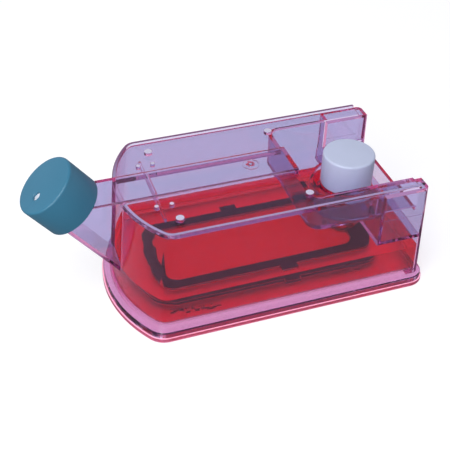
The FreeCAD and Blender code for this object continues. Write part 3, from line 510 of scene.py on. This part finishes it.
class OBJECT_OT_flask_lands(FlaskStep, bpy.types.Operator):
    """Pale lands of painted light on the rim's lip and on the tops of the stacking pegs and bumps, with
    painted shade on the rim's far side
    """

    bl_idname = "object.flask_lands"
    bl_label = "Lands of painted light"

    def make(self):
        # painted light: the rim's pale land stands in for the lip's light band and darkens to painted
        # shade on the far side; the peg lands stand in for the pegs' highlights
        rim = satin_land_painted_light("polystyrene_satin_rim", "#A59AC4", "#C2B6E0", "#8A5C86")
        peg = satin_land_painted_light("polystyrene_satin_peg", "#CFC8E4", "#ECE8FA")
        lift, skin = 0.01 * MM, 0.05 * MM
        for name, satin, heights, inset in (("rim_land", rim, (RIM_TOP,), 0.15 * MM),
                                            ("peg_lands", peg, (BUMP_TOP, PEG_TOP), 0.2 * MM)):
            mesh = level_faces("housing", heights, inset, lift)
            mesh = baked(mesh, [("SOLIDIFY", {"thickness": skin, "offset": -1.0})])
            keep(name, smooth_by_angle(mesh), satin, "flask", "clear_polystyrene")


class OBJECT_OT_flask_liquids(FlaskStep, bpy.types.Operator):
    """Medium with its meniscus, and the cell suspension under the membrane"""

    bl_idname = "object.flask_liquids"
    bl_label = "Liquids"

    def make(self):
        density = 60.0
        clear = culture_medium("culture_medium_phenol_red", density, roughness=0.0)
        hazy = culture_medium("cell_suspension_in_medium", density, roughness=0.35)
        for node, name, liquid, bm, degrees in (
                ("nutrient_medium", "medium", clear, self.with_meniscus("nutrient_medium"), 35.0),
                ("cell_suspension", "suspension", hazy, merged("cell_suspension"), SHARP_ANGLE)):
            wetted = ("DISPLACE", {"strength": sizes().wetting, "mid_level": 0.0})
            mesh = baked(mesh_of(bm, name), [wetted])
            keep(f"{name}_liquid", shaded(mesh, degrees), liquid, "flask", name, node)

    def with_meniscus(self, node):
        """The liquid's bmesh, with the edge of its free surface drawn up the walls."""
        width, slack = 1.6 * MM, 0.01 * MM  # of the strip that rises, and in its height
        bm = merged(node)
        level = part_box(node)[1].z
        top = [f for f in bm.faces if is_level(f) and f.calc_center_median().z > level - slack]
        shore = {v for f in top for v in f.verts}
        bmesh.ops.inset_region(bm, faces=top, thickness=width, use_boundary=True, use_even_offset=True)
        for vert in shore - {v for f in top for v in f.verts}:
            vert.co.z += sizes().meniscus
        return bm


class OBJECT_OT_flask_membranes(FlaskStep, bpy.types.Operator):
    """Gasket frame, membrane, silicone sheet, filter and liner"""

    bl_idname = "object.flask_membranes"
    bl_label = "Gasket and membranes"

    def make(self):
        gasket = softened("membrane_gasket", sizes().gasket_softening, segments=3)
        keep("gasket_frame", gasket, dark_rubber(), "flask", "dark_rubber", "membrane_gasket")
        cellulose = thin_sheet("regenerated_cellulose_wet", linear("#F2C9D2"), alpha=0.07, roughness=0.5)
        silicone = thin_sheet("silicone_sheet_cast", linear("#EDD6E2"), alpha=0.07, roughness=0.4)
        filter_disc = thin_sheet("porous_filter_membrane", linear("#EEF2FA"), alpha=1.0, roughness=0.8)
        liner = thin_sheet("silicone_liner", linear("#DDD9E6"), alpha=1.0, roughness=0.5)
        cut_edge = 0.08 * MM
        for node, material, body, slot in (
                ("dialysis_membrane", cellulose, "flask", "cellulose_membrane"),
                ("gas_membrane", silicone, "flask", "silicone_sheet"),
                ("vent_filter", filter_disc, "vent_seat", "filter_membrane"),
                ("port_cap_liner", liner, "port_seat", "silicone_sheet")):
            keep(f"{node}_sheet", softened(node, cut_edge, segments=1), material, body, slot, node)


class OBJECT_OT_flask_caps(FlaskStep, bpy.types.Operator):
    """Vent cap with its hole, and port cap"""

    bl_idname = "object.flask_caps"
    bl_label = "Screw caps"

    def make(self):
        teal = satin_polyethylene("polyethylene_vent_cap", colours().vent_cap, roughness=0.34)
        white = satin_polyethylene("polyethylene_port_cap", colours().port_cap, roughness=0.42)
        turned = self.cap("vent_cap", VENT, wall=1.9 * MM, top=1.6 * MM)
        keep("vent_cap_moulded", smooth_by_angle(self.vented(turned), degrees=32.0), teal,
             "vent_cap", "teal_polyethylene", "vent_cap")
        turned = self.cap("port_cap", PORT, wall=2.0 * MM, top=2.0 * MM)
        keep("port_cap_moulded", smooth_by_angle(turned, degrees=32.0), white,
             "port_cap", "white_polyethylene", "port_cap")

    def cap(self, node, joint, wall, top):
        """A hollow cap turned about its joint's axis, as wide and high as the frame's; wall and top
        are its thicknesses."""
        point, axis = joint["pos_m"], joint["axis"]
        radius, low, high = reach(node, point, axis)
        big, small = sizes().cap_round, 0.35 * MM
        inside = radius - wall
        profile = [(0.0, high - top), (inside - 2 * small, high - top), (inside, high - top - 2 * small)]
        profile += corner(inside + small, low + small, small, 180, 270, 3)
        profile += corner(radius - small, low + small, small, 270, 360, 3)
        profile += corner(radius - big, high - big, big, 0, 90, 8)
        profile += [(0.0, high)]
        mesh = lathe(profile, steps=128)
        mesh.transform(upright(point, axis))
        return mesh

    def vented(self, mesh):
        """The vent cap with its hole cut where the frame's cap has it, and a chamfer round it."""
        point, axis = VENT["pos_m"], VENT["axis"]
        _, _, high = reach("vent_cap", point, axis)
        stand = upright(point, axis)
        inverse = stand.inverted()
        spots = [inverse @ v.co for v in frame["nodes"]["vent_cap"].data.vertices]
        inner_face, slack = 15 * MM, 0.01 * MM
        rim = [p for p in spots if p.z > high - slack and math.hypot(p.x, p.y) < inner_face]
        middle = sum(rim, Vector()) / len(rim)
        hole, chamfer, depth = sizes().vent_radius, 0.3 * MM, 4 * MM
        profile = [(0.0, high - depth), (hole, high - depth), (hole, high - chamfer),
                   (hole + chamfer, high), (hole + 2 * chamfer, high + chamfer), (0.0, high + chamfer)]
        cutter = lathe(profile, steps=48)
        cutter.transform(Matrix.Translation((middle.x, middle.y, 0)))
        cutter.transform(stand)
        tool = linked("cutter", cutter)
        made = baked(mesh, [("BOOLEAN", {"operation": "DIFFERENCE", "object": tool, "solver": "EXACT"})])
        bpy.data.objects.remove(tool)
        return made


def thread_tree():
    """Geometry Nodes: a screw thread wound on a neck, cut from a swept section."""
    tree = bpy.data.node_groups.new("screw_thread", "GeometryNodeTree")
    face = tree.interface
    for name, kind in (("Radius", "NodeSocketFloat"), ("Pitch", "NodeSocketFloat"),
                       ("Turns", "NodeSocketFloat"), ("Height", "NodeSocketFloat"),
                       ("Material", "NodeSocketMaterial")):
        face.new_socket(name, in_out="INPUT", socket_type=kind)
    face.new_socket("Geometry", in_out="OUTPUT", socket_type="NodeSocketGeometry")
    given = add_node(tree, "NodeGroupInput").outputs
    rise = add_node(tree, "ShaderNodeMath", {"operation": "MULTIPLY"}, _0=given["Pitch"],
                    _1=given["Turns"])
    path = add_node(tree, "GeometryNodeCurveSpiral", Resolution=64, Rotations=given["Turns"],
                    Start_Radius=given["Radius"], End_Radius=given["Radius"], Height=rise.outputs[0])
    along = add_node(tree, "GeometryNodeSplineParameter").outputs["Factor"]
    taper = add_node(tree, "ShaderNodeFloatCurve", Value=along)
    points = taper.mapping.curves[0].points
    tip, run_in = 0.15, 0.06  # width of the ends, and how far along each the full width is reached
    points[0].location = (0.0, tip)
    points[1].location = (1.0, tip)
    points.new(run_in, 1.0)
    points.new(1.0 - run_in, 1.0)
    taper.mapping.update()
    shaped = add_node(tree, "GeometryNodeSetCurveRadius", Curve=path.outputs[0], Radius=taper.outputs[0])
    ridge = add_node(tree, "GeometryNodeCurvePrimitiveCircle", Resolution=10, Radius=given["Height"])
    swept = add_node(tree, "GeometryNodeCurveToMesh", Curve=shaped.outputs[0],
                     Profile_Curve=ridge.outputs[0], Fill_Caps=True)
    real = add_node(tree, "GeometryNodeRealizeInstances", Geometry=swept.outputs[0])
    dressed = add_node(tree, "GeometryNodeSetMaterial", Geometry=real.outputs[0],
                       Material=given["Material"])
    smooth = add_node(tree, "GeometryNodeSetShadeSmooth", Geometry=dressed.outputs[0])
    add_node(tree, "NodeGroupOutput", Geometry=smooth.outputs[0])
    return tree


def grown(tree, start=None, **inputs):
    """Run a Geometry Nodes tree on a mesh, or on none, and return the plain mesh."""
    holder = linked("holder", start or bpy.data.meshes.new("seed"))
    modifier = holder.modifiers.new("nodes", "NODES")
    modifier.node_group = tree
    for item in tree.interface.items_tree:
        if item.in_out == "INPUT" and item.name.replace(" ", "_") in inputs:
            modifier[item.identifier] = inputs[item.name.replace(" ", "_")]
    bpy.context.view_layer.update()
    evaluated = holder.evaluated_get(bpy.context.evaluated_depsgraph_get())
    made = bpy.data.meshes.new_from_object(evaluated)
    holder.modifiers.remove(modifier)
    bpy.data.objects.remove(holder)
    return made


def scatter_tree():
    """Geometry Nodes: small lumps scattered on a sheet, each with a stretch between Least and Most,
    and turned about Y by up to Tilt."""
    tree = bpy.data.node_groups.new("scattered_lumps", "GeometryNodeTree")
    face = tree.interface
    face.new_socket("Geometry", in_out="INPUT", socket_type="NodeSocketGeometry")
    for name, kind in (("Density", "NodeSocketFloat"), ("Radius", "NodeSocketFloat"),
                       ("Least", "NodeSocketVector"), ("Most", "NodeSocketVector"),
                       ("Tilt", "NodeSocketFloat"), ("Seed", "NodeSocketInt"),
                       ("Material", "NodeSocketMaterial")):
        face.new_socket(name, in_out="INPUT", socket_type=kind)
    face.new_socket("Geometry", in_out="OUTPUT", socket_type="NodeSocketGeometry")
    given = add_node(tree, "NodeGroupInput").outputs
    spots = add_node(tree, "GeometryNodeDistributePointsOnFaces", Mesh=given["Geometry"],
                     Density=given["Density"], Seed=given["Seed"])
    stretch = add_node(tree, "FunctionNodeRandomValue", {"data_type": "FLOAT_VECTOR"},
                       _0=given["Least"], _1=given["Most"], Seed=given["Seed"])
    back = add_node(tree, "ShaderNodeMath", {"operation": "MULTIPLY"}, _0=given["Tilt"], _1=-1.0)
    turn = add_node(tree, "FunctionNodeRandomValue", {"data_type": "FLOAT"},
                    _2=back.outputs[0], _3=given["Tilt"], Seed=given["Seed"])
    about_y = add_node(tree, "ShaderNodeCombineXYZ", Y=turn.outputs[1])
    lump = add_node(tree, "GeometryNodeMeshIcoSphere", Radius=given["Radius"], Subdivisions=2)
    placed = add_node(tree, "GeometryNodeInstanceOnPoints", Points=spots.outputs["Points"],
                      Instance=lump.outputs["Mesh"], Rotation=about_y.outputs[0], Scale=stretch.outputs[0])
    real = add_node(tree, "GeometryNodeRealizeInstances", Geometry=placed.outputs[0])
    smooth = add_node(tree, "GeometryNodeSetShadeSmooth", Geometry=real.outputs[0])
    dressed = add_node(tree, "GeometryNodeSetMaterial", Geometry=smooth.outputs[0],
                       Material=given["Material"])
    add_node(tree, "NodeGroupOutput", Geometry=dressed.outputs[0])
    return tree


def near_side(node, start, end, low, high, inset, rise=0.0):
    """A sheet just inside a frame node's near side, from start to end along X and from low to high
    at its start; its far end is rise higher."""
    within, near = -42 * MM, Vector((0, -1, 0))  # a line inside the node, and the way out of it
    bm = merged(node)
    solid = BVHTree.FromBMesh(bm)
    bm.free()
    sheet = bmesh.new()
    steps = 12
    rows = []
    for level in (low, high):
        row = []
        for i in range(steps + 1):
            x = start + (end - start) * i / steps
            z = level + rise * i / steps
            spot = solid.ray_cast(Vector((x, within, z)), near)[0]
            row.append(sheet.verts.new(spot - inset * near))
        rows.append(row)
    for i in range(steps):
        sheet.faces.new((rows[0][i], rows[0][i + 1], rows[1][i + 1], rows[1][i]))
    return mesh_of(sheet, "sheet")


class OBJECT_OT_flask_specks(FlaskStep, bpy.types.Operator):
    """Clumps of cells in the low part of the medium, air bubbles on its near wall, and dried crumbs"""

    bl_idname = "object.flask_specks"
    bl_label = "Cell clumps and bubbles"

    def make(self):
        tree = scatter_tree()
        clumps, air, dried = cell_clumps(), air_bubble(), dried_medium()
        sheet = near_side("nutrient_medium", start=-2 * MM, end=34 * MM, low=18.5 * MM, high=23.5 * MM,
                          inset=1.2 * MM, rise=-4.0 * MM)
        mesh = grown(tree, sheet, Density=190000.0, Radius=0.95 * MM, Least=(0.5, 0.5, 0.3),
                     Most=(2.4, 1.0, 0.9), Tilt=0.35, Seed=4, Material=clumps)
        keep("cell_clumps_left", mesh, clumps, "flask", "suspension")
        sheet = near_side("nutrient_medium", start=116 * MM, end=146 * MM, low=19.5 * MM, high=24.5 * MM,
                          inset=1.0 * MM, rise=2.0 * MM)
        mesh = grown(tree, sheet, Density=170000.0, Radius=0.8 * MM, Least=(0.5, 0.5, 0.3),
                     Most=(2.2, 1.0, 0.9), Tilt=0.3, Seed=9, Material=clumps)
        keep("cell_clumps_right", mesh, clumps, "flask", "suspension")
        sheet = near_side("nutrient_medium", start=20 * MM, end=120 * MM, low=17.0 * MM, high=29.0 * MM,
                          inset=0.9 * MM)
        mesh = grown(tree, sheet, Density=9000.0, Radius=0.6 * MM, Least=(0.5, 0.5, 0.5),
                     Most=(1.0, 1.0, 1.0), Tilt=0.0, Seed=3, Material=air)
        keep("air_bubbles", mesh, air, "flask", "suspension")
        mesh = grown(tree, self.gate_mark(), Density=900000.0, Radius=0.55 * MM, Least=(0.5, 0.5, 0.4),
                     Most=(1.6, 1.2, 0.9), Tilt=0.2, Seed=6, Material=dried)
        keep("gate_residue", mesh, dried, "flask", "medium")

    def gate_mark(self):
        """A disc just over the channel's top, in the middle of the gate's ring."""
        middle, radius, around, lift = Vector((75.2 * MM, 0.6 * MM)), 3.2 * MM, 4 * MM, 0.3 * MM
        spots = [v.co for v in frame["nodes"]["housing"].data.vertices if v.co.z > CHANNEL_LOW]
        top = min(p.z for p in spots if (p.xy - middle).length < around)
        bm = bmesh.new()
        bmesh.ops.create_circle(bm, cap_ends=True, segments=24, radius=radius)
        bmesh.ops.translate(bm, verts=bm.verts, vec=(*middle, top + lift))
        return mesh_of(bm, "gate_sheet")


class OBJECT_OT_flask_threads(FlaskStep, bpy.types.Operator):
    """Screw threads on the slanted neck and on the port tube"""

    bl_idname = "object.flask_threads"
    bl_label = "Screw threads"

    def make(self):
        tree = thread_tree()
        clear = bpy.data.materials["crystal_polystyrene_inner"]
        for name, joint, radius, start in (("neck_thread", VENT, 19.05 * MM, 4.5 * MM),
                                           ("tube_thread", PORT, 15.2 * MM, 8.0 * MM)):
            mesh = grown(tree, Radius=radius, Pitch=sizes().thread_pitch, Turns=2.4,
                         Height=sizes().thread_height, Material=clear)
            mesh.transform(upright(joint["pos_m"], joint["axis"]) @ Matrix.Translation((0, 0, start)))
            keep(name, mesh, clear, "flask", "clear_polystyrene")


# ---------------------------------------------------------------- stage

class SCENE_OT_flask_stage(FlaskStep, bpy.types.Operator):
    """Pale floor, soft light and camera"""

    bl_idname = "scene.flask_stage"
    bl_label = "Stage"

    def make(self):
        self.floor()
        self.world()
        self.lamp("key_light", place=(-0.55, -0.45, 1.25), width=0.9, power=12.0)
        self.lamp("fill_light", place=(-0.9, -1.0, 0.5), width=0.9, power=8.0)
        self.camera()
        scene = bpy.context.scene
        scene.view_settings.view_transform = "Standard"
        bounces = 48
        scene.cycles.max_bounces = bounces
        scene.cycles.transmission_bounces = bounces
        scene.cycles.glossy_bounces = bounces
        scene.cycles.transparent_max_bounces = 32

    def floor(self):
        """A board that looks white to the camera and through glass, and rosy past a reflection. As a
        light on dull surfaces and in reflections it is grey."""
        half_side, gap = 3.0, 0.2 * MM
        grey, grey_in_gloss = (0.4, 0.4, 0.41, 1.0), (0.2, 0.2, 0.21, 1.0)
        white, rosy = (1, 1, 1, 1), (0.95, 0.38, 0.52, 1)
        glow_to_camera = 0.66
        bm = bmesh.new()
        bmesh.ops.create_grid(bm, x_segments=1, y_segments=1, size=half_side)
        mesh = mesh_of(bm, "floor")
        floor = linked("floor", mesh)
        floor.location.z = -gap
        material = new_material("matt_white_board")
        tree = material.node_tree
        path = add_node(tree, "ShaderNodeLightPath").outputs
        tone = add_node(tree, "ShaderNodeMix", {"data_type": "RGBA"}, Factor=path["Is Glossy Ray"],
                        _6=grey, _7=grey_in_gloss)
        board = add_node(tree, "ShaderNodeBsdfDiffuse", Color=tone.outputs[2], Roughness=0.5)
        glow = add_node(tree, "ShaderNodeMath", {"operation": "MULTIPLY_ADD"}, _0=path["Is Camera Ray"],
                        _1=glow_to_camera, _2=path["Is Transmission Ray"])
        bounced = add_node(tree, "ShaderNodeMapRange", Value=path["Glossy Depth"], From_Max=1.0)
        cast = add_node(tree, "ShaderNodeMix", {"data_type": "RGBA"}, Factor=bounced.outputs[0],
                        _6=white, _7=rosy)
        shine = add_node(tree, "ShaderNodeEmission", Color=cast.outputs[2], Strength=glow.outputs[0])
        mixed = add_node(tree, "ShaderNodeAddShader", _0=board.outputs[0], _1=shine.outputs[0])
        finish_material(material, mixed.outputs[0])
        mesh.materials.append(material)

    def world(self):
        """White to the camera. Through glass it is white low down and mauve above. As a light on dull
        surfaces and in reflections it is lavender, and a reflection is brighter low down."""
        white, mauve, lavender = (1, 1, 1, 1), (0.70, 0.42, 0.64, 1), (0.78, 0.80, 0.90, 1)
        ambient, gloss_below, gloss_above = 0.6, 0.8, 0.25
        world = bpy.data.worlds.new("studio")
        bpy.context.scene.world = world
        world.use_nodes = True
        tree = world.node_tree
        tree.nodes.clear()
        path = add_node(tree, "ShaderNodeLightPath").outputs
        way = add_node(tree, "ShaderNodeTexCoord").outputs["Generated"]
        rise = add_node(tree, "ShaderNodeSeparateXYZ", Vector=way).outputs["Z"]
        high = add_node(tree, "ShaderNodeMapRange", Value=rise, From_Min=0.15, From_Max=0.5)
        wall = add_node(tree, "ShaderNodeMix", {"data_type": "RGBA"}, Factor=high.outputs[0],
                        _6=white, _7=mauve)
        gloss = add_node(tree, "ShaderNodeMapRange", Value=rise, From_Min=0.05, From_Max=0.6,
                         To_Min=gloss_below, To_Max=gloss_above)
        level = add_node(tree, "ShaderNodeMix", {"data_type": "FLOAT"}, Factor=path["Is Glossy Ray"],
                         A=ambient, B=gloss.outputs[0])
        around = add_node(tree, "ShaderNodeBackground", Color=lavender, Strength=level.outputs[0])
        tone = add_node(tree, "ShaderNodeMix", {"data_type": "RGBA"}, Factor=path["Is Transmission Ray"],
                        _6=white, _7=wall.outputs[2])
        backdrop = add_node(tree, "ShaderNodeBackground", Color=tone.outputs[2], Strength=1.0)
        seen = add_node(tree, "ShaderNodeMath", {"operation": "MAXIMUM"}, _0=path["Is Camera Ray"],
                        _1=path["Is Transmission Ray"])
        mixed = add_node(tree, "ShaderNodeMixShader", _0=seen.outputs[0], _1=around.outputs[0],
                         _2=backdrop.outputs[0])
        out = add_node(tree, "ShaderNodeOutputWorld")
        tree.links.new(mixed.outputs[0], out.inputs["Surface"])

    def lamp(self, name, place, width, power):
        """A square lamp aimed near the flask's middle; lengths in metres and power in watts."""
        middle = Vector((0.07, 0.0, 0.05))
        light = bpy.data.lights.new(name, "AREA")
        light.size = width
        light.energy = power
        lamp = linked(name, light)
        lamp.location = place
        aim = middle - Vector(place)
        lamp.rotation_euler = aim.to_track_quat("-Z", "Y").to_euler()

    def camera(self):
        """Looks down across the flask from its near side; azimuth is from +Y towards +X."""
        place = Vector((-114.01, -472.46, 449.40)) * MM
        azimuth, down, roll = (math.radians(a) for a in (19.77, 39.25, 1.42))
        data = bpy.data.cameras.new("camera")
        data.sensor_width = 36.0
        data.lens = 70.8512
        data.shift_x = 0.0039
        data.shift_y = 0.0013
        ahead = Vector((math.sin(azimuth) * math.cos(down), math.cos(azimuth) * math.cos(down),
                        -math.sin(down)))
        right = Vector((math.cos(azimuth), -math.sin(azimuth), 0))
        up = right.cross(ahead)
        across = math.cos(roll) * right + math.sin(roll) * up
        over = -math.sin(roll) * right + math.cos(roll) * up
        camera = linked("camera", data)
        turn = Matrix((across, over, -ahead)).transposed().to_4x4()
        camera.matrix_world = Matrix.Translation(place) @ turn
        bpy.context.scene.camera = camera


# ---------------------------------------------------------------- panel and registration

STEPS = (OBJECT_OT_flask_mouldings, OBJECT_OT_flask_lands, OBJECT_OT_flask_liquids,
         OBJECT_OT_flask_specks, OBJECT_OT_flask_membranes, OBJECT_OT_flask_caps,
         OBJECT_OT_flask_threads, SCENE_OT_flask_stage)


class VIEW3D_PT_flask(bpy.types.Panel):
    """Flask settings and steps"""

    bl_idname = "VIEW3D_PT_flask"
    bl_label = "Culture flask"
    bl_space_type = "VIEW_3D"
    bl_region_type = "UI"
    bl_category = "Flask"

    def draw(self, context):
        for group in (context.scene.flask_sizes, context.scene.flask_colours):
            for name in group.bl_rna.properties.keys():
                if name not in ("rna_type", "name"):
                    self.layout.prop(group, name)
        for step in STEPS:
            self.layout.operator(step.bl_idname)


CLASSES = (FlaskSizes, FlaskColours, *STEPS, VIEW3D_PT_flask)


def register():
    for kind in CLASSES:
        bpy.utils.register_class(kind)
    bpy.types.Scene.flask_sizes = PointerProperty(type=FlaskSizes)
    bpy.types.Scene.flask_colours = PointerProperty(type=FlaskColours)


def unregister():
    del bpy.types.Scene.flask_colours
    del bpy.types.Scene.flask_sizes
    for kind in reversed(CLASSES):
        bpy.utils.unregister_class(kind)


def main():
    register()
    bpy.ops.object.flask_mouldings()
    bpy.ops.object.flask_lands()
    bpy.ops.object.flask_liquids()
    bpy.ops.object.flask_specks()
    bpy.ops.object.flask_membranes()
    bpy.ops.object.flask_caps()
    bpy.ops.object.flask_threads()
    bpy.ops.scene.flask_stage()


if __name__ == "__main__":
    main()
